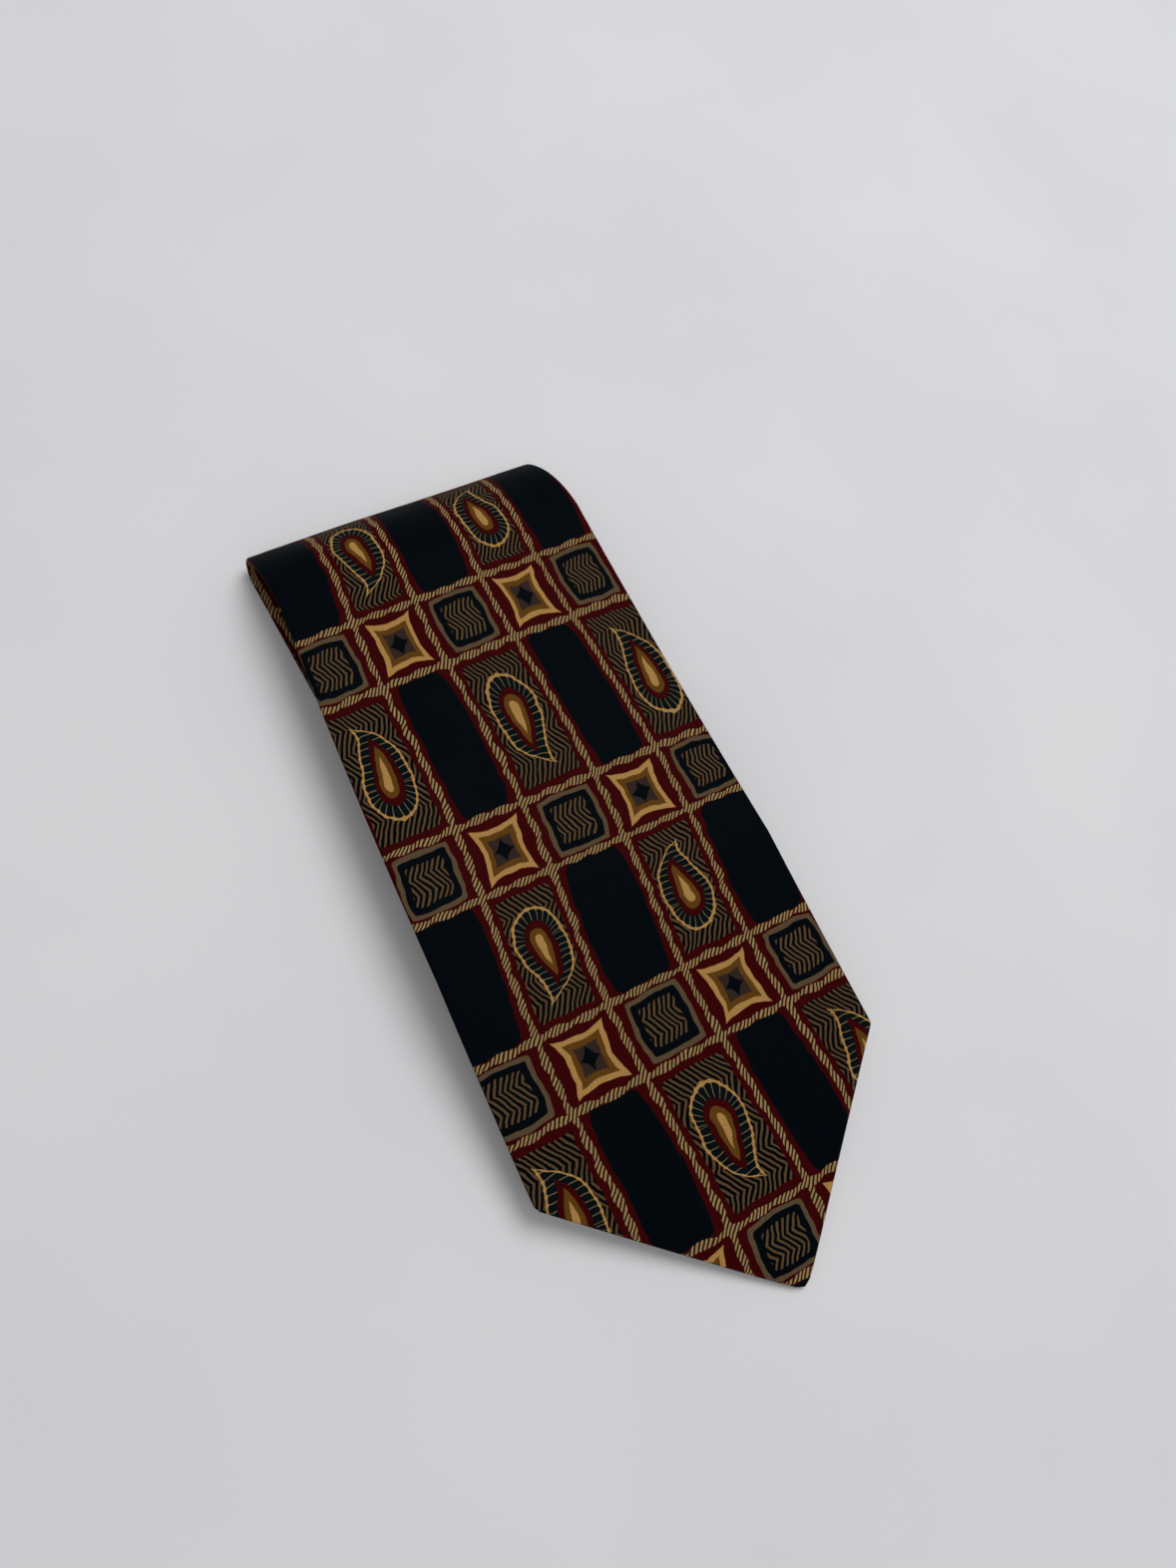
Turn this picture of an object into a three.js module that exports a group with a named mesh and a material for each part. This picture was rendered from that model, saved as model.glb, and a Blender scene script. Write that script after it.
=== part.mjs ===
// A silk necktie lying folded, millimetres, +Z up. The blade tip is at -Y and the big fold at +Y.
// Every cloth piece is cut flat as a box in (across, along, through) and then bent: first round the tie's own
// cross-section, then along the path of the folded tie, which is followed from the blade tip to the tail tip.
import * as THREE from 'three';

// cloth and padding thicknesses
const SILK = 0.25;           // shell cloth
const WOOL = 0.5;            // pressed interlining
const EASE = 0.15;           // air between the shell and the interlining
const LAYER_GAP = 0.3;       // air between folded layers
const PIECE_GAP = 0.3;       // between two pieces that meet end to end
const SLIT = 1.2;            // between the two back flaps at the centre back
const THICK = 2 * SILK + 2 * EASE + WOOL;
const PITCH = THICK + LAYER_GAP;

// the tie laid flat
const BLADE_WIDTH = 98;
const BLADE_POINT = 48;      // tip to shoulder
const BLADE_TAPER = 0.0354;  // half-width lost per mm along the blade's top
const UNDER_TAPER = 0.055;   // and from the big fold to the neck
const BOW = 5.5;             // how far the blade lies bowed to the right at its tip
const BOW_START = 150;
const NECK_WIDTH = 37;
const TAIL_WIDTH = 46;
const TAIL_POINT = 23;
const TAIL_FLARE = 380;      // length over which the tail widens
const BLADE_SEAM_LAYER = 4;  // the blade/neck seam is in the middle of this layer, counted from the blade
const TAIL_SEAM_LAYER = 7;   // and the neck/tail seam in the middle of this one
const SEAM_LEAN = 0.8;       // how far the bias seams lean along the tie per mm across the cut cloth
const SEAM_GAP = 1.2;        // between two joined panels, holding the seam's thread

// the folded shape
const FOLD_LINE = 203;       // tip to where the blade starts to turn down
const SLOPE_PAST = 6;        // the blade's sloping end runs this far past the top of its V
const TIP_LIFT = 0.3;        // under the tip
const ROLL_RADIUS = 28;      // outside of the soft shoulder of the big fold
const ROLL_TURN = 50;        // degrees turned by that shoulder
// small folds at the far end, past the fold line, from the bottom up
const FAR_PAST = [10, 7, 4, -2];
const NEAR_STEP = 16;        // each small fold at the near end lies this much further from the tip
const NEAR_GAP = 1.04;       // from the top one of them to the sloping blade over it
const TAIL_RUN = 15;         // from the last small fold to where the tail's V begins
const PACK_SHIFT = -2;       // the layers under the blade lie this far to the left
const BACK_ROOM = 0.65;      // between the keeper loop and the layer under it

// small pieces
const V_TOP = 2 * BLADE_POINT;            // where the blade's back flaps meet
const TAIL_V = 2 * TAIL_POINT;
const LOOP = { before: 32, width: 10, across: 44, thick: 0.35 };      // before: from the fold line
const CARE = { before: 18, length: 12, across: 20, thick: 0.2 };
const BRAND = { share: 0.395, length: 24, across: 46, thick: 0.25 };  // share: of the way from V to loop
const TACK = { length: 2.4, across: 3.4 };
const THREAD = 0.3;
const HEM = 0.8;             // from a pointed edge to the thread that sews the lining there

const rad = Math.PI / 180;
const LAYERS = 2 * FAR_PAST.length + 1;   // under the blade
const PACK_HEIGHT = THICK + (LAYERS - 1) * PITCH;
const TOP_HEIGHT = PACK_HEIGHT + PIECE_GAP + LOOP.thick + BACK_ROOM + THICK;
const END_LENGTH = V_TOP + SLOPE_PAST;
const SLOPE = Math.asin((TOP_HEIGHT - THICK - TIP_LIFT) / END_LENGTH);
const END_RUN = END_LENGTH * Math.cos(SLOPE);
const FAR_ENDS = FAR_PAST.map((past) => FOLD_LINE + past);
const TAIL_END = FAR_ENDS.at(-1) - TAIL_V - TAIL_RUN;

// the near folds step back under the sloping end, and the topmost just clears it
const topFold = PACK_HEIGHT - PITCH;
const clear = (topFold + NEAR_GAP + THICK / 2 / Math.cos(SLOPE) - TIP_LIFT - THICK / 2) / Math.tan(SLOPE);
const NEAR_ENDS = FAR_PAST.map((_, i) => clear + (PITCH + THICK) / 2 - NEAR_STEP * (FAR_PAST.length - 1 - i));

// ---- the path of the cloth's middle plane, in the Y-Z plane, as straight and curved steps ----
const path = [];
let total = 0;

function step(length, turn = 0) {
  const last = path[path.length - 1];
  const start = last ? at(total) : { y: 0, z: TIP_LIFT + THICK / 2, a: SLOPE };
  path.push({ s: total, length, turn, ...start });
  total += length;
  return total;
}

function at(s) {
  const p = [...path].reverse().find((q) => s >= q.s - 1e-9) ?? path[0];
  const d = s - p.s;
  if (!p.turn) {
    return { y: p.y + d * Math.cos(p.a), z: p.z + d * Math.sin(p.a), a: p.a };
  }
  const r = p.length / p.turn;
  const b = p.a + d / r;
  return { y: p.y + r * (Math.sin(b) - Math.sin(p.a)), z: p.z - r * (Math.cos(b) - Math.cos(p.a)), a: b };
}

const R_TOP = ROLL_RADIUS - THICK / 2;
const S_MAIN = step(END_LENGTH);
const S_ROLL = step(FOLD_LINE - END_RUN);
path[1].a = 0;
const S_CREST = step(R_TOP * ROLL_TURN * rad, -ROLL_TURN * rad);
const rest = Math.PI - ROLL_TURN * rad;
const R_LOW = (at(S_CREST).z - THICK / 2) / (1 + Math.cos(ROLL_TURN * rad));
const S_PACK = step(R_LOW * rest, -rest);
const layers = [0];          // where each layer under the blade is in the path
for (let i = 0; i < NEAR_ENDS.length; i++) {
  const far = i ? FAR_ENDS[i - 1] : at(S_PACK).y;
  layers.push(path.length);
  step(far - NEAR_ENDS[i]);
  step(PITCH / 2 * Math.PI, -Math.PI);
  layers.push(path.length);
  step(FAR_ENDS[i] - NEAR_ENDS[i]);
  step(PITCH / 2 * Math.PI, Math.PI);
}
const LENGTH = step(FAR_ENDS.at(-1) - TAIL_END);

const middleOf = (layer) => path[layers[layer]].s + path[layers[layer]].length / 2;
const BLADE_SEAM = middleOf(BLADE_SEAM_LAYER - 1);
const TAIL_SEAM = middleOf(TAIL_SEAM_LAYER - 1);

// half-width of the finished tie at s along it
function half(s) {
  const blade = BLADE_WIDTH / 2 - BLADE_TAPER * (Math.min(s, S_PACK) - BLADE_POINT)
    - UNDER_TAPER * Math.max(s - S_PACK, 0);
  const flare = (s - (LENGTH - TAIL_POINT - TAIL_FLARE)) / TAIL_FLARE;
  const tail = NECK_WIDTH / 2 + (TAIL_WIDTH - NECK_WIDTH) / 2 * Math.min(Math.max(flare, 0), 1);
  return Math.min(BLADE_WIDTH / 2, Math.max(blade, tail));
}

const bow = (s) => BOW * ((Math.min(s, S_ROLL) - BOW_START) / BOW_START) ** 2;

// a point x across, s along and d below the front face
function place(x, s, d) {
  const p = at(s);
  const off = THICK / 2 - d;
  const lean = Math.min(Math.max((s - S_ROLL) / (S_PACK - S_ROLL), 0), 1);
  return [x + bow(s) + PACK_SHIFT * lean, p.y - off * Math.sin(p.a), p.z + off * Math.cos(p.a)];
}

// the finished cross-section, from the left flap's edge round the front to the right flap's edge:
// each knot is [share of the flat half-width, x, depth, outward x, outward depth] for half-width h
function section(h) {
  const r = THICK / 2;
  const right = [];
  for (let i = 0; i <= 4; i++) {
    const a = i * 45 * rad;
    right.push([h - r + r * Math.sin(a), r - r * Math.cos(a), Math.sin(a), -Math.cos(a), h]);
  }
  right.push([SLIT / 2, THICK, 0, 1, 2 * h]);
  const left = right.map(([x, d, nx, nd, u]) => [-x, d, -nx, nd, -u]).reverse();
  return [...left, [0, 0, 0, -1, 0], ...right];
}

// a closed solid from a box of cells, each corner sent to its place
function solid(nu, nv, to) {
  const g = new THREE.BoxGeometry(1, 1, 1, nu, nv, 1);
  const p = g.attributes.position;
  for (let i = 0; i < p.count; i++) {
    const u = Math.round((p.getX(i) + 0.5) * nu);
    const v = Math.round((p.getY(i) + 0.5) * nv);
    p.setXYZ(i, ...to(u, v, p.getZ(i) > 0 ? 1 : 0));
  }
  let volume = 0;
  const [a, b, c] = [new THREE.Vector3(), new THREE.Vector3(), new THREE.Vector3()];
  const index = g.index.array;
  for (let i = 0; i < index.length; i += 3) {
    a.fromBufferAttribute(p, index[i]);
    b.fromBufferAttribute(p, index[i + 1]);
    c.fromBufferAttribute(p, index[i + 2]);
    volume += a.dot(b.cross(c));
  }
  if (volume < 0) {
    for (let i = 0; i < index.length; i += 3) {
      [index[i], index[i + 1]] = [index[i + 1], index[i]];
    }
  }
  g.deleteAttribute('uv');
  g.computeVertexNormals();
  return g;
}

// stations along the tie between two places: one per straight step, enough to stay smooth in the turns
function stations(from, to) {
  const list = [from];
  for (const p of path) {
    const cuts = p.turn ? Math.max(2, Math.ceil(Math.abs(p.turn) / (30 * rad))) : (p.s < S_ROLL ? 4 : 1);
    for (let i = 0; i <= cuts; i++) {
      const s = p.s + p.length * i / cuts;
      if (s > from + 0.01 && s < to - 0.01) {
        list.push(s);
      }
    }
  }
  const neckStart = S_PACK + (half(S_PACK) - NECK_WIDTH / 2) / UNDER_TAPER;
  const widths = [BLADE_POINT, S_PACK, neckStart, LENGTH - TAIL_POINT, LENGTH - TAIL_POINT - TAIL_FLARE];
  list.push(...widths.filter((s) => s > from && s < to), to);
  return list.sort((a, b) => a - b).filter((s, i, all) => !i || s - all[i - 1] > 0.05);
}

// how far a pointed end's cut edge lies from the tip, for a flat place u across
const point = (u, h, tip) => tip * Math.min(Math.abs(u) / h, 1) + tip * Math.max(Math.abs(u) / h - 1, 0);

// how much the cloth leans at s because of a seam in the middle of a layer: it fades out by the layer's ends
function lean(s, seam) {
  const reach = path.findLast((p) => seam >= p.s).length / 2;
  return SEAM_LEAN * Math.max(1 - Math.abs(s - seam) / reach, 0);
}

// a length of shell; its ends may be pointed, or cut on the lean of a seam
function shell(from, to, ends = {}) {
  const rows = stations(from, to);
  return solid(12, rows.length - 1, (u, v, w) => {
    let s = rows[v];
    const flat = section(half(s))[u][4];
    if (ends.start === 'point') {
      s += point(flat, BLADE_WIDTH / 2, BLADE_POINT) * Math.max(1 - (s - from) / (to - from), 0);
    }
    if (ends.end === 'point' && s > to - TAIL_V - 8) {
      const share = (s - (to - TAIL_V - 8)) / (TAIL_V + 8);
      s -= point(flat, TAIL_WIDTH / 2, TAIL_POINT) * share;
    }
    for (const seam of ends.seams ?? []) {
      s += flat * lean(rows[v], seam);
    }
    const k = section(half(s))[u];
    return place(k[0] - k[2] * SILK * w, s, k[1] - k[3] * SILK * w);
  });
}

// a flat-sectioned length inside or against the tie: half-width by a function, depth range fixed
function strip(from, to, width, top, bottom, pointed = 0) {
  const rows = stations(from, to);
  return solid(2, rows.length - 1, (u, v, w) => {
    let s = rows[v];
    const side = Math.abs(u - 1);
    if (pointed > 0) {
      s += side * BLADE_POINT * (to - s) / (to - from);
    }
    if (pointed < 0 && s > to - TAIL_V) {
      s -= side * TAIL_POINT * (s - to + TAIL_V) / TAIL_V;
    }
    return place((u - 1) * width(s), s, w ? bottom : top);
  });
}

// a thin panel between two crosswise outlines, both V-shaped or straight
function panel(width, lower, upper, top, bottom) {
  return solid(2, 1, (u, v, w) => {
    const x = (u - 1) * width;
    return place(x, v ? upper(Math.abs(x)) : lower(Math.abs(x)), w ? bottom : top);
  });
}

// a leaning thread in the gap between two panels of the shell, running round the front from edge to edge
function seamThread(s0) {
  const rise = SEAM_LEAN * half(s0);
  return solid(2, 1, (u, v, w) => {
    const share = (u - 1) * 0.6;
    const x = share * (half(s0 + (u - 1) * rise) - THICK / 2);
    return place(x, s0 + share * rise + (v - 0.5) * THREAD, w ? SILK : 0);
  });
}

// ---- materials ----
const cloth = (color, roughness) => new THREE.MeshStandardMaterial({ color, roughness, metalness: 0 });
const SILK_PRINT = cloth(0x1d1a22, 0.55);
const WOOL_WHITE = cloth(0xd9d2c2, 0.95);
const LINING = cloth(0x141a26, 0.45);
const LABEL = cloth(0x20242e, 0.5);
const CARE_WHITE = cloth(0xe8e6e0, 0.6);
const THREAD_DARK = cloth(0x2a1418, 0.7);

const group = new THREE.Group();
group.name = 'necktie';

function add(name, geometry, material) {
  const mesh = new THREE.Mesh(geometry, material);
  mesh.name = name;
  group.add(mesh);
}

const g = PIECE_GAP / 2;
const CUTS = { end: [0, S_MAIN - g], main: [S_MAIN + g, S_ROLL - g], roll_upper: [S_ROLL + g, S_CREST - g],
  roll_lower: [S_CREST + g, S_PACK - g] };

// ---- the silk shell: blade panel, neck panel, tail panel ----
for (const [name, [from, to]] of Object.entries(CUTS)) {
  add(`silk_blade_${name}`, shell(from, to, name === 'end' ? { start: 'point' } : {}), SILK_PRINT);
}
const d = SEAM_GAP / 2;
const seams = [BLADE_SEAM, TAIL_SEAM];
add('silk_blade_under', shell(S_PACK + g, BLADE_SEAM - d, { seams: [BLADE_SEAM] }), SILK_PRINT);
add('silk_neck', shell(BLADE_SEAM + d, TAIL_SEAM - d, { seams }), SILK_PRINT);
add('silk_tail', shell(TAIL_SEAM + d, LENGTH, { seams: [TAIL_SEAM], end: 'point' }), SILK_PRINT);

// ---- the wool interlining, one strip from tip to tip ----
const core = (s) => half(s) - THICK / 2;
const WOOL_TOP = SILK + EASE;
const INSET = 1.5;
add('wool_end', strip(INSET, S_MAIN - g, core, WOOL_TOP, WOOL_TOP + WOOL, 1), WOOL_WHITE);
for (const name of ['main', 'roll_upper', 'roll_lower']) {
  add(`wool_${name}`, strip(...CUTS[name], core, WOOL_TOP, WOOL_TOP + WOOL), WOOL_WHITE);
}
add('wool_under', strip(S_PACK + g, LENGTH - INSET, core, WOOL_TOP, WOOL_TOP + WOOL, -1), WOOL_WHITE);

// ---- tipping: the lining panels that close the two pointed ends at the back ----
const tipWidth = BLADE_WIDTH / 2 - 2 * THICK;
const tailWidth = TAIL_WIDTH / 2 - 2 * THICK;

// the pointed end's edge, and the edge of the flaps' V, at x across a blade or tail of half-width h
const edge = (x, h, tip) => x * tip / h;
const flap = (x, h, tip) => 2 * tip - (x - SLIT / 2) * tip / (h - THICK / 2 - SLIT / 2);
const lower = (x, h, tip) => edge(x, h, tip) + HEM + 2 * THREAD;
const upper = (x, h, tip) => flap(x, h, tip) - 2 * PIECE_GAP;
const blade = [BLADE_WIDTH / 2, BLADE_POINT];
const tail = [TAIL_WIDTH / 2, TAIL_POINT];
add('tipping_blade', panel(tipWidth, (x) => lower(x, ...blade), (x) => upper(x, ...blade),
  THICK - SILK, THICK), LINING);
add('tipping_tail', panel(tailWidth, (x) => LENGTH - upper(x, ...tail), (x) => LENGTH - lower(x, ...tail),
  THICK - SILK, THICK), LINING);

// ---- keeper loop and the two blank labels, on the back of the blade ----
const loopAt = S_ROLL - LOOP.before;
const careAt = S_ROLL - CARE.before;
const brandAt = V_TOP + BRAND.share * (loopAt - V_TOP);
const onBack = [
  ['keeper_loop', loopAt, LOOP.width, LOOP, SILK_PRINT],
  ['brand_label', brandAt, BRAND.length, BRAND, LABEL],
  ['care_label', careAt, CARE.length, CARE, CARE_WHITE],
];
for (const [name, s, length, spec, material] of onBack) {
  add(name, strip(s - length / 2, s + length / 2, () => spec.across / 2, THICK + PIECE_GAP,
    THICK + PIECE_GAP + spec.thick), material);
}

// ---- threads: bar tacks at the two V tops, slip stitch down the centre back, seam and hem stitches ----
const under = (s0, s1, half_) => strip(s0, s1, () => half_, THICK - SILK, THICK);
add('tack_blade', strip(V_TOP - TACK.length / 2, V_TOP + TACK.length / 2, () => TACK.across / 2,
  THICK + PIECE_GAP, THICK + PIECE_GAP + THREAD), THREAD_DARK);
add('tack_tail', strip(LENGTH - TAIL_V - TACK.length / 2, LENGTH - TAIL_V + TACK.length / 2,
  () => TACK.across / 2, THICK + PIECE_GAP, THICK + PIECE_GAP + THREAD), THREAD_DARK);
const stitch = THREAD / 2;
add('slip_stitch_main', under(S_MAIN + g, S_ROLL - g, stitch), THREAD_DARK);
add('slip_stitch_roll', under(S_ROLL + g, S_PACK - g, stitch), THREAD_DARK);
add('slip_stitch_under', under(S_PACK + g, LENGTH - TAIL_V - 3, stitch), THREAD_DARK);
add('hem_stitch_blade', panel(tipWidth, (x) => edge(x, ...blade) + HEM,
  (x) => edge(x, ...blade) + HEM + THREAD, THICK - SILK, THICK), THREAD_DARK);
add('hem_stitch_tail', panel(tailWidth, (x) => LENGTH - HEM - THREAD - edge(x, ...tail),
  (x) => LENGTH - HEM - edge(x, ...tail), THICK - SILK, THICK), THREAD_DARK);
add('seam_stitch_neck', seamThread(BLADE_SEAM), THREAD_DARK);
add('seam_stitch_tail', seamThread(TAIL_SEAM), THREAD_DARK);

// the origin is the middle of the footprint, on the surface the tie lies on
const box = new THREE.Box3().setFromObject(group);
const middle = box.getCenter(new THREE.Vector3());
group.position.set(-middle.x, -middle.y, -box.min.z);

export default group;
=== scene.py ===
import math
import bpy
from mathutils import Matrix


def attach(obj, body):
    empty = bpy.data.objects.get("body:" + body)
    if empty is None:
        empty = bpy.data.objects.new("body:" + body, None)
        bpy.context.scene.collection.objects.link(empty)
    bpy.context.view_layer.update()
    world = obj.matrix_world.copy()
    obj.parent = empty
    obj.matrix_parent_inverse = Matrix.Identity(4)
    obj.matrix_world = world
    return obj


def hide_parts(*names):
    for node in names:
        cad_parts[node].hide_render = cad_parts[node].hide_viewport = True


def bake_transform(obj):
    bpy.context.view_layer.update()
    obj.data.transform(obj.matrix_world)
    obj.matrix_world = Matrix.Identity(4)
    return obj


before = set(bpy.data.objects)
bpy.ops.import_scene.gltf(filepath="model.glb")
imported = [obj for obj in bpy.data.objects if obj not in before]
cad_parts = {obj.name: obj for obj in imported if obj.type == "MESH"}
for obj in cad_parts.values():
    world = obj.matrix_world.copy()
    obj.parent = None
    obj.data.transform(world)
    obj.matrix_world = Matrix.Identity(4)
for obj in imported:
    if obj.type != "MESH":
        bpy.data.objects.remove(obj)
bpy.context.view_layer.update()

# ---------------------------------------------------------------- camera and light
# The tie is seen from above and from its left, from about arm's length, with the tip towards the viewer.
# The lamps are large and soft, so the cloth shows a low sheen and throws only a faint shadow.
MM = 0.001
# the part's origin, measured across from the tie's middle line and along from its tip, in millimetres
MIDDLE = (2.437, 112.609)


def look(place, right, up, back, lens):
    data = bpy.data.cameras.new("camera")
    data.sensor_width = 36
    data.lens = lens
    data.clip_start = 0.01
    camera = bpy.data.objects.new("camera", data)
    bpy.context.collection.objects.link(camera)
    turn = Matrix((right, up, back)).transposed().to_4x4()
    camera.matrix_world = Matrix.Translation(place) @ turn
    bpy.context.scene.camera = camera


look(
    place=((-94.46 - MIDDLE[0]) * MM, (71.44 - MIDDLE[1]) * MM, 275.15 * MM),
    right=(0.86134, -0.44691, 0.24158),
    up=(0.35580, 0.87011, 0.34105),
    back=(-0.36262, -0.20781, 0.90847),
    lens=25.99237,
)


def lamp(name, place, size, power, tone):
    data = bpy.data.lights.new(name, "AREA")
    data.shape = "DISK"
    data.size = size
    data.energy = power
    data.color = tone
    light = bpy.data.objects.new(name, data)
    bpy.context.collection.objects.link(light)
    light.location = place
    light.rotation_euler = (-light.location).to_track_quat("-Z", "Y").to_euler()


lamp("window", (0.5, 0.35, 1.3), 1.0, 10.5, (1.0, 1.0, 1.0))
lamp("room", (-0.4, -0.9, 1.4), 1.5, 3.0, (1.0, 0.98, 0.96))
world = bpy.data.worlds.new("room air")
world.use_nodes = True
world.node_tree.nodes["Background"].inputs["Color"].default_value = (0.9, 0.9, 0.9, 1)
world.node_tree.nodes["Background"].inputs["Strength"].default_value = 0.36
bpy.context.scene.world = world
bpy.context.scene.view_settings.view_transform = "Standard"


# ---------------------------------------------------------------- the surface under the tie
# A plain pale cloth, pulled flat. It's the floor of the scene and not part of the tie.
class Socket:
    """One value, colour or vector in a material, which Python's own operators work on."""

    def __init__(self, cloth, out):
        self.cloth, self.out = cloth, out

    def _maths(self, operation, *values):
        return self.cloth.node("ShaderNodeMath", {"operation": operation}, dict(enumerate(values)))

    def __add__(self, other):
        return self._maths("ADD", self, other)

    def __sub__(self, other):
        return self._maths("SUBTRACT", self, other)

    def __mul__(self, other):
        return self._maths("MULTIPLY", self, other)

    def __truediv__(self, other):
        return self._maths("DIVIDE", self, other)

    def __pow__(self, other):
        return self._maths("POWER", self, other)

    def __radd__(self, other):
        return self._maths("ADD", other, self)

    def __rsub__(self, other):
        return self._maths("SUBTRACT", other, self)

    def __rmul__(self, other):
        return self._maths("MULTIPLY", other, self)

    def __neg__(self):
        return self._maths("MULTIPLY", self, -1)

    def __abs__(self):
        return self._maths("ABSOLUTE", self)

    def __mod__(self, other):
        return self._maths("FLOORED_MODULO", self, other)

    def __gt__(self, other):
        return self._maths("GREATER_THAN", self, other)

    def top(self, other):
        return self._maths("MAXIMUM", self, other)

    def low(self, other):
        return self._maths("MINIMUM", self, other)

    def wave(self):
        return self._maths("SINE", self)

    def root(self):
        return self._maths("SQRT", self)

    def angle(self, other):
        return self._maths("ARCTAN2", self, other)

    def whole(self):
        return self._maths("FLOOR", self)

    def inside(self, soft):
        """1 where a signed distance is below 0, 0 where it's above, blurred over soft."""
        return self.cloth.node("ShaderNodeClamp", {}, {0: 0.5 - self * (1 / soft)})


def srgb(red, green, blue):
    """A linear colour from the usual 0 to 255 numbers."""
    def line(v):
        v /= 255
        return v / 12.92 if v <= 0.04045 else ((v + 0.055) / 1.055) ** 2.4
    return (line(red), line(green), line(blue), 1)


class Cloth:
    """A material, and the one way its nodes are made."""

    def __init__(self, name, **fixed):
        self.material = bpy.data.materials.new(name)
        self.material.use_nodes = True
        self.tree = self.material.node_tree
        self.shader = self.tree.nodes["Principled BSDF"]
        for socket, value in fixed.items():
            self.shader.inputs[socket.replace("_", " ")].default_value = value

    def node(self, kind, settings, inputs, output=0):
        n = self.tree.nodes.new(kind)
        for key, value in settings.items():
            setattr(n, key, value)
        for key, value in inputs.items():
            if isinstance(value, Socket):
                self.tree.links.new(value.out, n.inputs[key])
            else:
                n.inputs[key].default_value = value
        return Socket(self, n.outputs[output])

    def mix(self, mask, under, over):
        return self.node("ShaderNodeMix", {"data_type": "RGBA"}, {0: mask, 6: under, 7: over}, 2)

    def split(self, vector):
        across = self.node("ShaderNodeSeparateXYZ", {}, {0: vector})
        return across, Socket(self, across.out.node.outputs[1])

    def flat_place(self):
        """Across and along the cloth as it was cut, in millimetres."""
        return self.split(self.node("ShaderNodeUVMap", {"uv_map": "cut"}, {}))

    def zigzag(self, x, y, repeat, slope, pitch, share):
        """A signed distance to upright lines that bend to and fro, once in each repeat."""
        bend = abs(y % repeat - repeat / 2) * slope
        return (abs(((x + bend) / pitch) % 1 - 0.5) - share) * pitch

    def feed(self, **links):
        for socket, value in links.items():
            self.tree.links.new(value.out, self.shader.inputs[socket.replace("_", " ")])


def sheet_material():
    c = Cloth("table cloth", Roughness=0.9)
    spot = c.node("ShaderNodeNewGeometry", {}, {})
    weave = c.node("ShaderNodeTexNoise", {}, {"Vector": spot, "Scale": 900.0, "Detail": 2.0})
    soft = c.node("ShaderNodeTexNoise", {}, {"Vector": spot, "Scale": 9.0, "Detail": 3.0})
    c.feed(Base_Color=c.mix(soft, srgb(222, 222, 226), srgb(238, 238, 240)),
           Normal=c.node("ShaderNodeBump", {}, {"Strength": 0.15, "Distance": 0.0003, "Height": weave}))
    return c.material


bpy.ops.mesh.primitive_plane_add(size=6, location=(0, 0, -0.2 * MM))
floor = bpy.context.object
floor.name = "floor"
floor.data.materials.append(sheet_material())


# ---------------------------------------------------------------- the shell
# The shell is printed silk twill, cut on the bias in three panels that are joined by leaning seams. Each is
# pressed round the wool, so its two long edges meet at the centre back. The pointed ends are turned under.
SILK, WOOL, EASE, GAP, SLIT, SEAM_GAP = 0.25, 0.5, 0.15, 0.3, 0.3, 0.5
THICK = 2 * SILK + 2 * EASE + WOOL
PITCH = THICK + GAP
WIDE, POINT, TAIL_WIDE, TAIL_POINT, NECK = 98, 48, 46, 23, 37
BLADE_TAPER, NECK_TAPER, TAPER_CHANGE, TAIL_FLARE = 0.0354, 0.055, 236, 380
END_LENGTH, FOLD_LINE, HEIGHT, TIP_LIFT = 102, 203, 16.7, 0.3
ROLL_RADIUS, CREST = 28, math.radians(50)  # the big fold's shoulder, and how far it turns before the crest
FAR_PAST = (10, 7, 4, -2)  # the small folds at the far end, past the fold line, from the bottom up
NEAR_TOP, NEAR_STEP, LAST_RUN = 90, 16, 61  # the small folds at the near end, and the tail's last straight
SEAM_LEAN = 0.8
BLEND = 8  # half the length round the bend at the top of the blade's slope, where the blade's slip thread starts
path = []


def along(s):
    """Where the cloth's middle plane is, s millimetres from the blade's tip: along, up and heading."""
    step = next((p for p in reversed(path) if s >= p["s"] - 1e-9), path[0])
    d = s - step["s"]
    if not step["turn"]:
        return step["y"] + d * math.cos(step["a"]), step["z"] + d * math.sin(step["a"]), step["a"]
    r = step["length"] / step["turn"]
    b = step["a"] + d / r
    return (step["y"] + r * (math.sin(b) - math.sin(step["a"])),
            step["z"] - r * (math.cos(b) - math.cos(step["a"])), b)


def go(length, turn=0.0, heading=None):
    """Adds a straight or turning step to the folded tie's path, and gives the distance at its end."""
    s = path[-1]["s"] + path[-1]["length"] if path else 0.0
    y, z, a = along(s) if path else (0.0, TIP_LIFT + THICK / 2, slope)
    a = a if heading is None else heading
    path.append({"s": s, "length": length, "turn": turn, "y": y, "z": z, "a": a})
    return s + length


slope = math.asin((HEIGHT - THICK - TIP_LIFT) / END_LENGTH)
S_MAIN = go(END_LENGTH)
S_ROLL = go(FOLD_LINE - END_LENGTH * math.cos(slope), heading=0.0)
S_CREST = go((ROLL_RADIUS - THICK / 2) * CREST, -CREST)
turn_radius = (along(S_CREST)[1] - THICK / 2) / (1 + math.cos(CREST))
S_PACK = go(turn_radius * (math.pi - CREST), CREST - math.pi)
far = along(S_PACK)[0]
for layer, past in enumerate(FAR_PAST):
    near = NEAR_TOP - NEAR_STEP * (3 - layer)
    go(far - near)
    go(PITCH / 2 * math.pi, -math.pi)
    far = FOLD_LINE + past
    go(far - near)
    go(PITCH / 2 * math.pi, math.pi)
LENGTH = go(LAST_RUN)
straights = [p for p in path if not p["turn"] and p["s"] > S_PACK - 1]
SEAM_LAYERS = (2, 5)
BLADE_SEAM, TAIL_SEAM = (straights[i]["s"] + straights[i]["length"] / 2 for i in SEAM_LAYERS)
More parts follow.
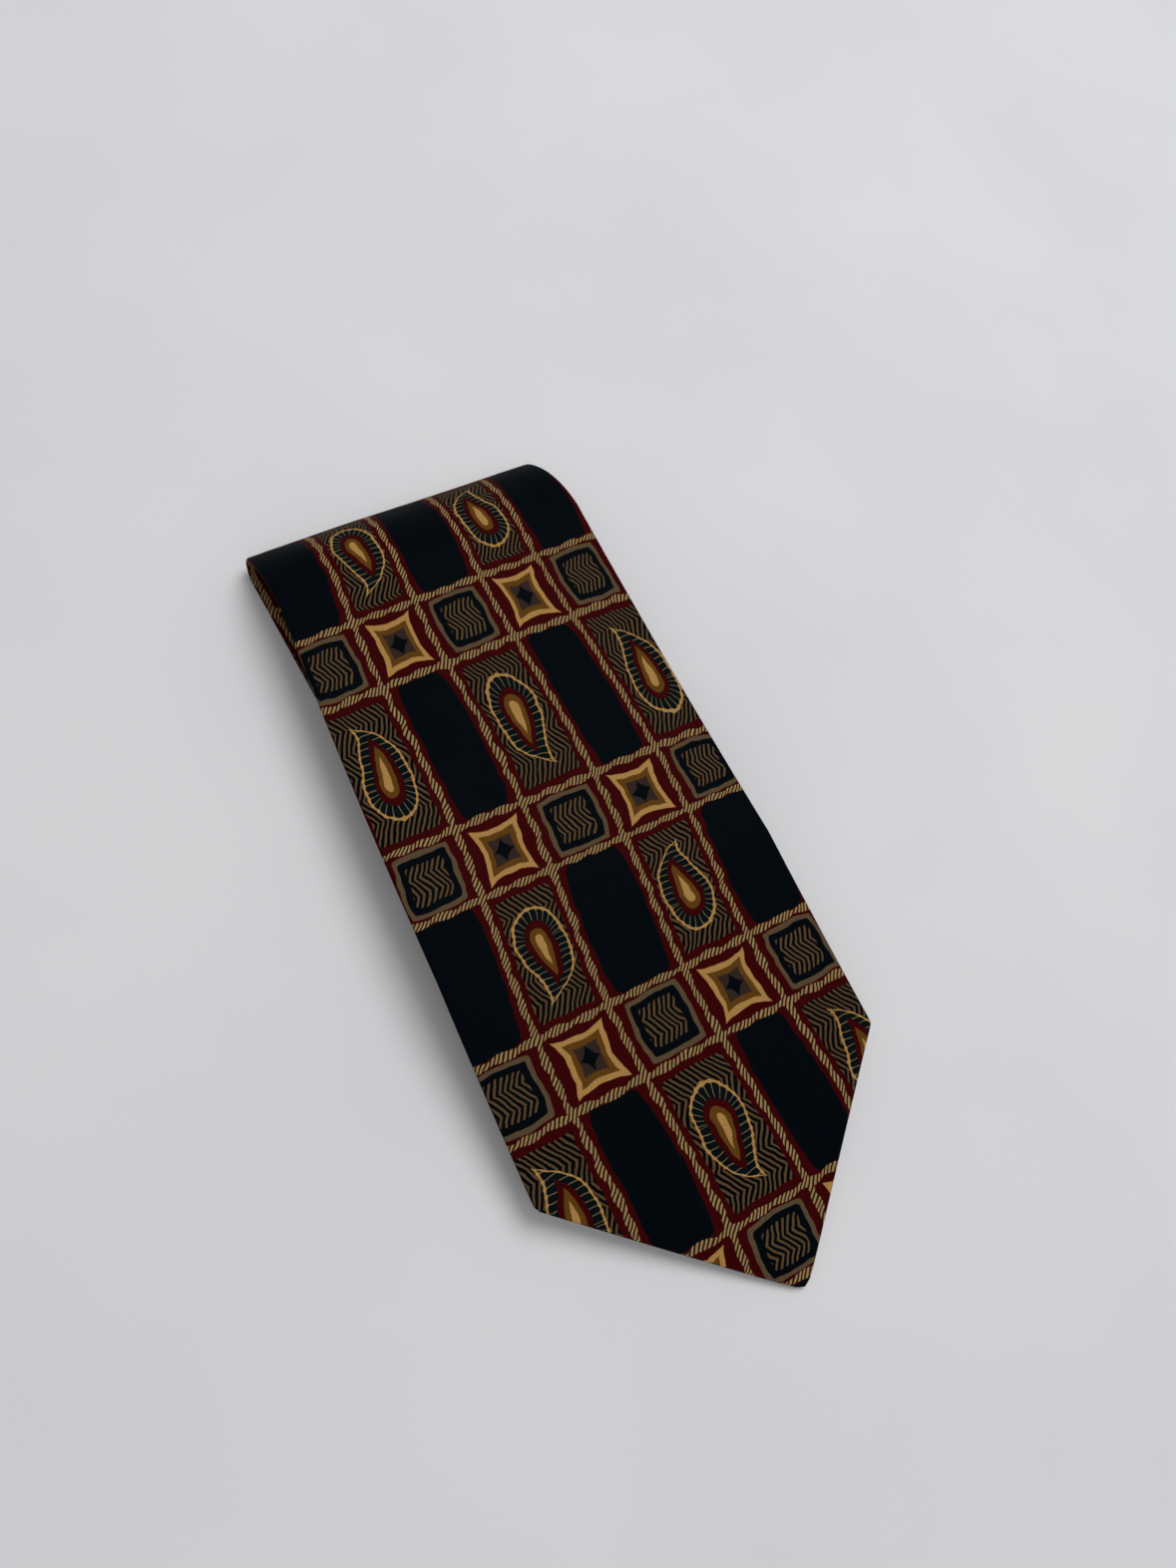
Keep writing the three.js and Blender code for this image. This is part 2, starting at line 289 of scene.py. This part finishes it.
S_UNDER = S_PACK + 4  # the big fold's piece of shell runs on this far into the layer under it


def ease(share):
    share = min(max(share, 0), 1)
    return share * share * (3 - 2 * share)


def half(s):
    """Half the finished width."""
    blade = (WIDE / 2 - BLADE_TAPER * (min(s, TAPER_CHANGE) - POINT)
             - NECK_TAPER * max(s - TAPER_CHANGE, 0))
    flare = min(max((s - (LENGTH - TAIL_POINT - TAIL_FLARE)) / TAIL_FLARE, 0), 1)
    return min(WIDE / 2, max(blade, NECK / 2 + (TAIL_WIDE - NECK) / 2 * flare))


def place(x, s, depth):
    """A point x across, s along and depth below the printed face, in metres in the part's frame.
    The tie lies a little bowed, each small fold strays sideways, and the big fold isn't quite square."""
    y, z, a = along(s)
    off = THICK / 2 - depth
    shift = -2 * min(max((s - S_ROLL) / (S_PACK - S_ROLL), 0), 1)
    stray = 1.1 * math.sin((s - S_PACK) / 117) if s > S_PACK else 0
    bow = 5.5 * ((min(s, S_ROLL) - 150) / 150) ** 2
    skew = (x * 0.045 + 0.5) * ease((s - 130) / 70) * ease((S_PACK + 90 - s) / 80)
    return ((x + bow + stray + shift - MIDDLE[0]) * MM,
            (y + skew - off * math.sin(a) - MIDDLE[1]) * MM,
            (z + off * math.cos(a)) * MM)


def swell(x, s):
    """How far the blade's printed face stands up: a soft crown, and the shallow waves of a worn tie."""
    h = half(s)
    inner = max(1 - abs(x) / h, 0)
    waves = (0.26 * math.sin(x / 13 + s / 27 + 1.2) + 0.2 * math.sin(s / 11.5 - x / 19)
             + 0.1 * math.sin(x / 6.5 - s / 8) + 0.07 * math.sin(x / 4.1 + s / 5.3))
    return (0.5 * (1 - (1 - inner) ** 4) + waves * min(1, inner * 5)) * ease((S_PACK - s) / 20)


def section(h, front, edge, back):
    """The cross-section from the left flap's edge round to the right one's, a list of
    (x, depth, outward x, outward depth, place across the flat cloth)."""
    r = THICK / 2
    flat = h - r
    right = [(flat * i / front, 0, 0, -1, flat * i / front) for i in range(1, front)]
    for i in range(edge + 1):
        a = math.pi * i / edge
        right.append((flat + r * math.sin(a), r - r * math.cos(a), math.sin(a), -math.cos(a), flat + r * a))
    for i in range(1, back + 1):
        run = (flat - SLIT / 2) * i / back
        right.append((flat - run, THICK, 0, 1, flat + r * math.pi + run))
    left = [(-x, d, -nx, nd, -u) for x, d, nx, nd, u in reversed(right)]
    return left + [(0, 0, 0, -1, 0)] + right


def lean(s):
    """How much the cloth leans at s: fully at a seam, and less and less as far as the ends of that layer."""
    share = 0
    for i in SEAM_LAYERS:
        layer = straights[i]
        share = max(share, 1 - abs(s - layer["s"] - layer["length"] / 2) / layer["length"] * 2)
    return SEAM_LEAN * share


def closed(name, columns, rows, spot):
    """A thin closed solid. spot(column, row, side) gives a point, and where it was on the flat cloth."""
    points, cut = [], []
    for side in (0, 1):
        for v in range(rows):
            for u in range(columns):
                p, c = spot(u, v, side)
                points.append(p)
                cut.append(c)
    n = columns * rows
    faces = []
    for v in range(rows - 1):
        for u in range(columns - 1):
            a = v * columns + u
            b, c, d = a + 1, a + 1 + columns, a + columns
            faces += [(a, b, c, d), (d + n, c + n, b + n, a + n)]
    rim = list(range(columns)) + [v * columns + columns - 1 for v in range(1, rows)]
    rim += [(rows - 1) * columns + u for u in range(columns - 2, -1, -1)]
    rim += [v * columns for v in range(rows - 2, -1, -1)]
    faces += [(b, a, a + n, b + n) for a, b in zip(rim, rim[1:])]
    return solid(name, points, faces, cut)


def solid(name, points, faces, cut):
    mesh = bpy.data.meshes.new(name)
    mesh.from_pydata(points, [], faces)
    layer = mesh.uv_layers.new(name="cut")
    for loop in mesh.loops:
        layer.data[loop.index].uv = cut[loop.vertex_index]
    mesh.polygons.foreach_set("use_smooth", [True] * len(mesh.polygons))
    mesh.set_sharp_from_angle(angle=math.radians(50))
    mesh.update()
    piece = bpy.data.objects.new(name, mesh)
    bpy.context.collection.objects.link(piece)
    return piece


def stations(start, end, step):
    """Distances along the tie: close together in the turns, and step apart on the straight."""
    stops = [start, end]
    for p in path:
        cuts = max(2, math.ceil(abs(p["turn"]) / math.radians(9))) if p["turn"] else 1
        cuts = max(cuts, math.ceil(p["length"] / step))
        stops += [p["s"] + p["length"] * i / cuts for i in range(cuts + 1)]
    stops = sorted(s for s in stops if start <= s <= end)
    return [s for i, s in enumerate(stops) if i == 0 or s - stops[i - 1] > 0.02]


def setback(cut, h, tip):
    """How far a pointed end's edge lies back from its tip, for a place cut across the flat cloth."""
    return tip * (math.sqrt((cut / h) ** 2 + 0.0009) - 0.03)


def turned(x, depth, nx, nd, edge, back, way, side):
    """A point on a pointed end's turned-under edge. back is how far it is from the edge, and is below 0 where
    the cloth has turned under."""
    r = THICK / 2 if nd < 0 else THICK / 2 - (THICK / 2 - SILK - 0.1) * min(nd + abs(nx), 1)
    if nd == 0:
        r = SILK + 0.1
    a = min(max((r - back) / r, 0), math.pi)
    rest = max(-back - (math.pi - 1) * r, 0)
    s = edge + way * (r - r * math.sin(a) + rest)
    deep = r * (1 - math.cos(a))
    out = (nx * math.cos(a), -way * math.sin(a), nd * math.cos(a))
    return (x - nx * deep - out[0] * SILK * side, s - out[1] * SILK * side,
            depth - nd * deep - out[2] * SILK * side)


def shell(name, start, end, step=2.0, fine=(24, 8, 10), puff=True):
    """A length of shell."""
    rows = stations(start, end, step)

    def spot(u, v, side):
        s = rows[v]
        cut = section(half(s), *fine)[u][4]
        s += cut * lean(s)
        x, depth, nx, nd, cut = section(half(s), *fine)[u]
        if puff:
            depth -= swell(x, s) * max(-nd, 0)
        return place(x - nx * SILK * side, s, depth - nd * SILK * side), (cut, s)

    return closed(name, len(section(10, *fine)), len(rows), spot)


def end_shell(name, start, end, h, tip, way, step=2.0, fine=(24, 8, 10), puff=True):
    """A length of shell with a pointed end, at start where way is 1 and at end where it's -1."""
    point = start if way > 0 else end
    fade = END_LENGTH if way > 0 else 2 * TAIL_POINT + 8
    hem = [-2.5, -2.1, -1.7, -1.4, -1.1, -0.8, -0.5, -0.3, -0.1, 0.1, 0.3, 0.5, 0.65, 0.9]
    rows = hem + [abs(s - point) for s in stations(start, end, step)[::way] if abs(s - point) > 1.5]
    rows = rows[::way]

    def spot(u, v, side):
        back = rows[v]
        s = point + way * max(back, 0)
        cut = section(half(s), *fine)[u][4]
        edge = setback(cut, h, tip)
        s += way * edge * max(1 - max(back, 0) / fade, 0) + cut * lean(s)
        x, depth, nx, nd, cut = section(half(s), *fine)[u]
        if back < 1:
            x, s, depth = turned(x, depth, nx, nd, point + way * edge, back, way, side)
            return place(x, s, depth), (cut, point + way * (edge + back))
        if puff:
            depth -= swell(x, s) * max(-nd, 0) * min((back - 1) / 8, 1)
        return place(x - nx * SILK * side, s, depth - nd * SILK * side), (cut, s)

    return closed(name, len(section(10, *fine)), len(rows), spot)


def printed(c):
    """The print: a hand-drawn net of twisted rope edged in maroon, and a motif in each mesh of the net."""
    maroon, navy, black = srgb(62, 3, 5), srgb(2, 9, 15), srgb(5, 5, 7)
    gold, ochre, olive, brown = srgb(188, 144, 82), srgb(104, 68, 22), srgb(96, 76, 52), srgb(56, 43, 37)
    soft = 0.16
    across, down = c.flat_place()

    # the drawing wanders, more or less in step with its own repeat, and draws in towards the big fold
    turn = 2 * math.pi / 112.8
    wide = 1 + (down.low(215) - 125) * 0.0011
    x = (across - (down * turn + 0.18).wave() * 1.5) * wide
    y = down - (down * turn - 2.61).wave() * 1.7
    hand = c.node("ShaderNodeCombineXYZ", {}, {0: x, 1: y})
    shake = c.node("ShaderNodeTexNoise", {}, {"Vector": hand, "Scale": 0.2, "Detail": 1.5}, 1)
    shake_x, shake_y = c.split(shake)
    x = x + (shake_x - 0.5) * 1.6
    y = y + (shake_y - 0.5) * 1.6

    # the net has narrow and broad columns, and short and tall rows
    narrow, broad, short, tall = 18.5, 20.6, 18.7, 37.7
    column = (x + 29.1) % (narrow + broad)
    is_broad = column > narrow
    width = narrow + is_broad * (broad - narrow)
    px = column - is_broad * narrow - width * 0.5
    row = (191.8 - y) % (short + tall)
    is_tall = row > short
    height = short + is_tall * (tall - short)
    py = row - is_tall * short - height * 0.5
    next_row = ((191.8 - y) / (short + tall)).whole() % 2
    next_pair = ((x + 29.1) / (narrow + broad)).whole() % 2

    # plain navy panels, with bowed sides and small round corners
    bow = abs(py * (1 / 18.6)) ** 2.6
    side = abs(px) - (width * 0.5 - 2.0) + bow * 1.3
    over = (side + 1.6).top(0)
    under = (abs(py) - 16.3).top(0)
    panel = (over * over + under * under).root() - 1.6
    plain = c.mix(panel.inside(soft), maroon, navy)

    # drops on a ground of zigzag lines; every other pair of columns has them upside down
    field = (abs(px) - (width * 0.5 - 2.2)).top(abs(py) - 16.2)
    bars = c.zigzag(px, y, 11.5, 0.62, 1.42, 0.2)
    flower = c.mix(bars.inside(0.14), black, olive)
    way = 1 - next_pair * 2
    a = px * way * (is_broad * 2 - 1)
    b = py * way + 3.2
    run = (b / 15.8).top(0).low(1)
    point = b > 0
    leaf = (abs(a + run * 2.4 - run ** 5 * 5.1) - 6.2 * (1 - run ** 2.1)).top(b - 15.8)
    bulb = (a * a + b * b * 0.5).root() - 6.2
    drop = bulb + point * (leaf - bulb)
    lap = point * b + (1 - point) * (a.angle(-b) * 6.5 + 50)
    bead = (lap * (math.pi / 1.62)).wave()
    flower = c.mix(drop.inside(soft), flower, srgb(5, 17, 21))
    tick = (abs(bead) - 0.15) * 0.5
    flower = c.mix((drop + 0.4).inside(soft) * tick.inside(0.1), flower, srgb(140, 118, 78))
    flower = c.mix((drop + 2.5 + abs(bead) * 0.25).inside(soft), flower, maroon)
    flower = c.mix((drop + 3.95).inside(soft), flower, ochre)
    flower = c.mix((drop + 5.15).inside(soft), flower, gold)
    flower = c.mix((abs(drop + 0.15) - 0.2 - (1 - abs(bead)) * 0.22).inside(soft), flower, gold)
    flower = c.mix(field.inside(soft), maroon, flower)
    has_drop = abs(is_broad + next_row - 1)
    colour = c.mix(has_drop, flower, plain)

    # short rows, broad columns: barrels of zigzag lines
    barrel = (abs(px) + (py * 0.115) ** 2 * 0.75).top(abs(py) * 0.94 + (px * 0.125) ** 2 * 0.6)
    corner = (abs(px) + abs(py) * 0.94) * 0.545
    barrel = barrel.top(corner)
    lines = c.zigzag(px, py + 2, 9.0, 0.55, 1.4, 0.2)
    block = c.mix((barrel - 7.6).inside(soft), maroon, srgb(98, 80, 58))
    block = c.mix((barrel - 6.5).inside(soft), block, navy)
    block = c.mix((barrel - 4.9).inside(soft) * lines.inside(0.14), block, srgb(102, 78, 50))

    # short rows, narrow columns: drawn-in squares with a small star
    upright = abs(px) - 0.75 + (py / 8.2) ** 2 * -1.5 + 1.0
    level = abs(py) * 0.86 - 0.75 + (px / 7) ** 2 * -1.4 + 1.0
    sides = upright.top(level)
    star = (abs(px) * 0.36) ** 0.7 + (abs(py) * 0.29) ** 0.7 - 1.0
    tile = c.mix((sides - 5.5).inside(soft), maroon, gold)
    tile = c.mix((sides - 4.35).inside(soft), tile, ochre)
    tile = c.mix((sides - 3.1).inside(soft), tile, brown)
    tile = c.mix(star.inside(0.07), tile, navy)
    colour = c.mix(is_tall, c.mix(is_broad, tile, block), colour)

    # two strands of rope on every line of the net
    to_side = width * 0.5 - abs(px)
    to_end = height * 0.5 - abs(py)
    lump_y = abs(((y + x * 0.6) * (math.pi / 6.6)).wave())
    lump_x = abs(((x + y * 0.6) * (math.pi / 6.9)).wave())
    rope = (to_side - 0.5 - lump_y * 0.45).low(to_end - 0.45 - lump_x * 0.58)
    strand = (abs(((y - x * 1.25) / 1.38) % 1 - 0.5) - 0.26) * 0.9
    twine = c.mix(strand.inside(0.14), srgb(32, 19, 10), srgb(174, 141, 94))
    return c.mix(rope.inside(soft), colour, twine)


def silk_print():
    c = Cloth("printed silk", Specular_IOR_Level=0.02)
    across, down = c.flat_place()
    flat = c.node("ShaderNodeCombineXYZ", {}, {0: across, 1: down})
    crepe = c.node("ShaderNodeTexNoise", {}, {"Vector": flat, "Scale": 2.4, "Detail": 3.0})
    cloudy = c.node("ShaderNodeTexNoise", {}, {"Vector": flat, "Scale": 0.1, "Detail": 2.0})
    rib = ((across + down) * (2 * math.pi / 0.62)).wave()
    light = c.mix(crepe, (0.38, 0.38, 0.4, 1), (1.26, 1.26, 1.25, 1))
    colour = c.node("ShaderNodeVectorMath", {"operation": "MULTIPLY"}, {0: printed(c), 1: light})
    c.feed(Base_Color=colour, Roughness=0.46 + crepe * 0.14 + cloudy * 0.1,
           Normal=c.node("ShaderNodeBump", {},
                         {"Strength": 0.45, "Distance": 0.0002, "Height": crepe + rib * 0.12}))
    return c.material


def dress(piece, material, slot, *nodes):
    piece.data.materials.append(material)
    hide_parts(*nodes)


def follow(piece, part):
    """Bakes the blade's piece and the big fold's two pieces where they lie, and ties any other piece to the
    body that its stretch of the tie lies on. Each bend at the big fold lies inside its own piece."""
    if part == "blade":
        place(0, S_MAIN - BLEND, 0)
        place(0, S_MAIN + BLEND, 0)
        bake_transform(piece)
    elif part == "shoulder":
        (_, start, z), (_, end, _) = place(0, S_ROLL, THICK), place(0, S_CREST, THICK)
        start + 3 * MM
        end - 2.5 * MM
        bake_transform(piece)
    elif part == "turn":
        (_, y, start), (_, _, end) = place(0, S_CREST, THICK), place(0, S_PACK, THICK)
        start - 0.1 * MM
        end + 0.1 * MM
        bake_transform(piece)
    else:
        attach(piece, part.replace("_body", ""))


silk = silk_print()
coarse = {"fine": (6, 6, 3), "puff": False}
shells = [  # piece, the part of the tie it lies on, flat width and length, and its nodes
    (end_shell("blade_shell", 0, S_ROLL, WIDE / 2, POINT, 1), "blade",
     192, 195, ("silk_blade_end", "silk_blade_main")),
    (shell("fold_shoulder_shell", S_ROLL, S_CREST), "shoulder",
     176, S_CREST - S_ROLL, ("silk_blade_roll_upper",)),
    (shell("fold_turn_shell", S_CREST, S_UNDER, 1), "turn",
     172, S_UNDER - S_CREST, ("silk_blade_roll_lower",)),
    (shell("blade_under_shell", S_UNDER, BLADE_SEAM - SEAM_GAP / 2, 12, **coarse), "pack",
     128, BLADE_SEAM - S_UNDER, ("silk_blade_under",)),
    (shell("neck_shell", BLADE_SEAM + SEAM_GAP / 2, TAIL_SEAM - SEAM_GAP / 2, 12, **coarse), "pack",
     76, TAIL_SEAM - BLADE_SEAM, ("silk_neck",)),
    (end_shell("tail_shell", TAIL_SEAM + SEAM_GAP / 2, LENGTH, TAIL_WIDE / 2, TAIL_POINT, -1, 8, **coarse),
     "pack", 86, LENGTH - TAIL_SEAM, ("silk_tail",)),
]
for piece, part, wide, long, nodes in shells:
    dress(piece, silk, "silk_print", *nodes)
    follow(piece, part)
    wide * MM
    long * MM


# ---------------------------------------------------------------- the wool interlining
# One bias strip of brushed cream wool fills the tie from tip to tip. It's cut to the finished width and lies
# loose in the shell, which is why a silk tie springs back after it has been tied.
def wool_material():
    c = Cloth("wool", Roughness=0.95, Specular_IOR_Level=0.1)
    across, down = c.flat_place()
    flat = c.node("ShaderNodeCombineXYZ", {}, {0: across, 1: down})
    fuzz = c.node("ShaderNodeTexNoise", {}, {"Vector": flat, "Scale": 1.8, "Detail": 6.0})
    weave = ((across * 4.2).wave() + (down * 4.2).wave()) * 0.15
    c.feed(Base_Color=c.mix(fuzz, srgb(196, 184, 158), srgb(232, 224, 204)),
           Normal=c.node("ShaderNodeBump", {}, {"Strength": 0.5, "Distance": 0.0003, "Height": fuzz + weave}))
    return c.material


def strip(name, start, end, width, top, bottom, step=4.0, points=(0, 0), columns=12, rise=None):
    """A flat length inside or against the tie. points are the tips cut into its two ends, and rise lifts its
    face."""
    rows = stations(start, end, step)

    def spot(u, v, side):
        share = u / columns * 2 - 1
        s = rows[v]
        s += points[0] * abs(share) * max(1 - (s - start) / (end - start), 0)
        if s > end - 2 * points[1] - 0.1:
            s -= points[1] * abs(share) * (s - end + 2 * points[1]) / (2 * points[1] or 1)
        x = share * width(s)
        lift = rise(share, (rows[v] - start) / (end - start)) if rise else 0
        return place(x, s, (bottom if side else top) - lift), (x, s)

    return closed(name, columns + 1, len(rows), spot)


def core(s):
    return half(s) - THICK / 2


wool = wool_material()
INSET, WOOL_TOP = 1.5, SILK + EASE
wools = [  # name, start, end, points, the part of the tie it lies on, flat width and length, and its nodes
    ("blade_wool", INSET, S_ROLL, (POINT, 0), "blade",
     92, 196, ("wool_end", "wool_main")),
    ("fold_shoulder_wool", S_ROLL, S_CREST, (0, 0), "shoulder",
     85, S_CREST - S_ROLL, ("wool_roll_upper",)),
    ("fold_turn_wool", S_CREST, S_UNDER, (0, 0), "turn",
     83, S_UNDER - S_CREST, ("wool_roll_lower",)),
    ("under_wool", S_UNDER, LENGTH - INSET, (0, TAIL_POINT), "pack",
     45, LENGTH - S_UNDER, ("wool_under",)),
]
for name, start, end, points, part, wide, long, nodes in wools:
    piece = strip(name, start, end, core, WOOL_TOP, WOOL_TOP + WOOL, points=points)
    dress(piece, wool, "wool", *nodes)
    follow(piece, part)
    wide * MM
    long * MM


# ---------------------------------------------------------------- the tipping
# A plain dark twill lining closes the back of each pointed end. It's felled by hand to the turned-under hem,
# and its upper edges go up under the two flaps.
def lining_material():
    c = Cloth("lining", Specular_IOR_Level=0.2)
    across, down = c.flat_place()
    twill = ((across - down * 1.6) * (2 * math.pi / 0.7)).wave()
    flat = c.node("ShaderNodeCombineXYZ", {}, {0: across, 1: down})
    slub = c.node("ShaderNodeTexNoise", {}, {"Vector": flat, "Scale": 0.5, "Detail": 3.0})
    c.feed(Base_Color=c.mix(slub * 0.6 + twill * 0.1 + 0.15, srgb(6, 10, 19), srgb(18, 25, 41)),
           Roughness=0.34 + slub * 0.16,
           Normal=c.node("ShaderNodeBump", {}, {"Strength": 0.3, "Distance": 0.0001, "Height": twill + slub}))
    return c.material


def tipping(name, width, tip, h, way, point, node):
    """A kite of lining between the hem and the V of the flaps."""
    halves, rows = 16, 20

    def spot(u, v, side):
        x = (u / halves - 1) * width
        low = 1.7 + setback(x, h, tip)
        high = 2 * tip - 0.6 - abs(x) * tip / h
        s = low + (high - low) * v / rows
        soft = 0.07 * math.sin(x / 5 + s / 9) * min(v, rows - v, 4) / 4
        return place(x, point + way * s, THICK - SILK * (1 - side) - soft), (x, s)

    piece = closed(name, 2 * halves + 1, rows + 1, spot)
    dress(piece, lining, "lining", node)
    return piece


lining = lining_material()
blade_tipping = tipping("blade_lining", WIDE / 2 - THICK, POINT, WIDE / 2, 1, 0, "tipping_blade")
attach(blade_tipping, "blade_end")
tail_tipping = tipping("tail_lining", TAIL_WIDE / 2 - THICK, TAIL_POINT, TAIL_WIDE / 2, -1, LENGTH,
                       "tipping_tail")
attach(tail_tipping, "pack")


# ---------------------------------------------------------------- the keeper loop
# A folded band of the shell's own silk lies across the back of the blade, and the tail is passed through it.
# Its ends are sewn down by hand, so its middle stands a little away from the blade.
LOOP_AT, LOOP_LENGTH, LOOP_ACROSS, LOOP_THICK = 172, 10, 44, 0.35


def arch(share, run):
    ends = 1 - abs(share) ** 6
    return -0.35 * ends - 0.05 * math.sin(run * math.pi) * ends


loop = strip("keeper", LOOP_AT - LOOP_LENGTH / 2, LOOP_AT + LOOP_LENGTH / 2, lambda s: LOOP_ACROSS / 2,
             THICK + 0.02, THICK + 0.02 + LOOP_THICK, step=1, columns=44, rise=arch)
dress(loop, silk, "silk_print", "keeper_loop")
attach(loop, "blade")


# ---------------------------------------------------------------- the labels
# A woven satin label is tacked across the back of the blade, and a small white care label is sewn in above
# it. Both are left blank: only the woven border of the large one is kept.
BRAND_AT, CARE_AT = 126, 186


def satin(name, dark, pale, length, across_size, border):
    c = Cloth(name, Specular_IOR_Level=0.25)
    across, down = c.flat_place()
    ribs = (down * (2 * math.pi / 0.45)).wave()
    colour = c.mix(ribs * 0.3 + 0.5, dark, pale)
    if border:
        out = (abs(across) - across_size / 2).top(abs(down - BRAND_AT) - length / 2)
        line = abs(out + 2.2) - 0.45
        colour = c.mix(line.inside(0.15), colour, srgb(170, 132, 66))
    c.feed(Base_Color=colour, Roughness=0.36 + ribs * 0.04,
           Normal=c.node("ShaderNodeBump", {}, {"Strength": 0.25, "Distance": 0.0001, "Height": ribs}))
    return c.material


def label(name, s, length, across_size, thick, material, slot, node):
    def lie(share, run):
        return -0.12 * (1 - abs(share) ** 8) * (1 + 0.4 * math.sin(share * 7))

    piece = strip(name, s - length / 2, s + length / 2, lambda _: across_size / 2,
                  THICK + 0.05, THICK + 0.05 + thick, step=1.5, columns=30, rise=lie)
    dress(piece, material, slot, node)
    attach(piece, "blade")


dark_satin = satin("label", srgb(11, 14, 23), srgb(24, 29, 43), 24, 46, True)
white_satin = satin("care label", srgb(226, 224, 218), srgb(240, 239, 234), 12, 20, False)
label("back_label", BRAND_AT, 24, 46, 0.25, dark_satin, "label", "brand_label")
label("washing_label", CARE_AT, 12, 20, 0.2, white_satin, "care_white", "care_label")


# ---------------------------------------------------------------- the threads
# Silk thread in dark red does all the sewing: the slip stitch that draws the two flaps together, the stitches
# that fell the lining to the hem, the seams between the panels and a bar tack across the top of each V.
def thread_material():
    c = Cloth("thread", Roughness=0.55)
    across, down = c.flat_place()
    ply = ((across + down * 2.4) * 6.0).wave()
    c.feed(Base_Color=c.mix(ply * 0.4 + 0.5, srgb(52, 10, 16), srgb(92, 22, 30)),
           Normal=c.node("ShaderNodeBump", {}, {"Strength": 0.6, "Distance": 0.0001, "Height": ply}))
    return c.material


def threads(name, runs, thick, part, node, sides=6):
    """Round threads that follow lists of (x, s, depth), all in one piece."""
    points, faces, cut = [], [], []
    for run in runs:
        first = len(points)
        for i, (x, s, d) in enumerate(run):
            x0, s0, d0 = run[max(i - 1, 0)]
            x1, s1, d1 = run[min(i + 1, len(run) - 1)]
            size = math.hypot(x1 - x0, s1 - s0) or 1
            for k in range(sides):
                a = 2 * math.pi * k / sides
                off = thick / 2 * math.cos(a)
                points.append(place(x + off * (s1 - s0) / size, s - off * (x1 - x0) / size,
                                    d + thick / 2 * math.sin(a)))
                cut.append((thick * a / 2, i * size / 2))
        for i in range(len(run) - 1):
            for k in range(sides):
                a, b = first + i * sides + k, first + i * sides + (k + 1) % sides
                faces.append((a, b, b + sides, a + sides))
        faces.append(tuple(first + k for k in reversed(range(sides))))
        faces.append(tuple(first + (len(run) - 1) * sides + k for k in range(sides)))
    piece = solid(name, points, faces, cut)
    dress(piece, thread, "thread", node)
    follow(piece, part)
    return piece


def slip(name, start, end, part, node, step=1.5):
    """The slip stitch, which weaves to and fro between the edges of the two flaps."""
    run = [(0.22 * math.sin((s - start) * 2 * math.pi / 6), s, THICK - 0.12)
           for s in stations(start, end, step)]
    threads(name, [run], 0.24, part, node, sides=5)


def fell(name, width, tip, h, way, point, part, node):
    """Small leaning stitches over the edge between the hem and the lining."""
    runs = []
    count = int(width / 2.6)
    for side in (-1, 1):
        for i in range(count):
            x = side * (i + 0.5) * width / count
            low = setback(x, h, tip)
            runs.append([(x + right, point + way * (low + up), THICK + out)
                         for right, up, out in ((0, 0.8, 0.05), (0.4, 1.5, 0.12), (0.8, 2.3, 0.03))])
    threads(name, runs, 0.22, part, node)


def tack(name, s, part, node):
    """A bar tack: a block of close threads across the top of the V."""
    runs = [[(x, s + (i - 3) * 0.36, THICK + (0.28 if abs(x) < 1.6 else 0.05))
             for x in (-1.7, -1.3, 0, 1.3, 1.7)] for i in range(7)]
    threads(name, runs, 0.3, part, node)


def seam(name, s, node):
    """A thread that lies down in the valley of a leaning seam."""
    rise = SEAM_LEAN * half(s)
    run = [(t / 10 * (half(s + rise * t / 10) - THICK / 2), s + rise * t / 10, 0.16)
           for t in range(-9, 10)]
    threads(name, [run], 0.26, "pack", node)


thread = thread_material()
slip("slip_thread_blade", S_MAIN + BLEND, S_ROLL, "blade_body", "slip_stitch_main")
slip("slip_thread_shoulder", S_ROLL, S_CREST, "shoulder", "slip_stitch_roll")
slip("slip_thread_turn", S_CREST, S_PACK, "turn", "slip_stitch_roll")
slip("slip_thread_under", S_PACK, LENGTH - 2 * TAIL_POINT - 3, "pack", "slip_stitch_under", step=3)
fell("hem_thread_blade", WIDE / 2 - THICK, POINT, WIDE / 2, 1, 0, "blade_end", "hem_stitch_blade")
fell("hem_thread_tail", TAIL_WIDE / 2 - THICK, TAIL_POINT, TAIL_WIDE / 2, -1, LENGTH, "pack",
     "hem_stitch_tail")
tack("bar_tack_blade", 2 * POINT, "blade_end", "tack_blade")
tack("bar_tack_tail", LENGTH - 2 * TAIL_POINT, "pack", "tack_tail")
seam("seam_thread_neck", BLADE_SEAM, "seam_stitch_neck")
seam("seam_thread_tail", TAIL_SEAM, "seam_stitch_tail")
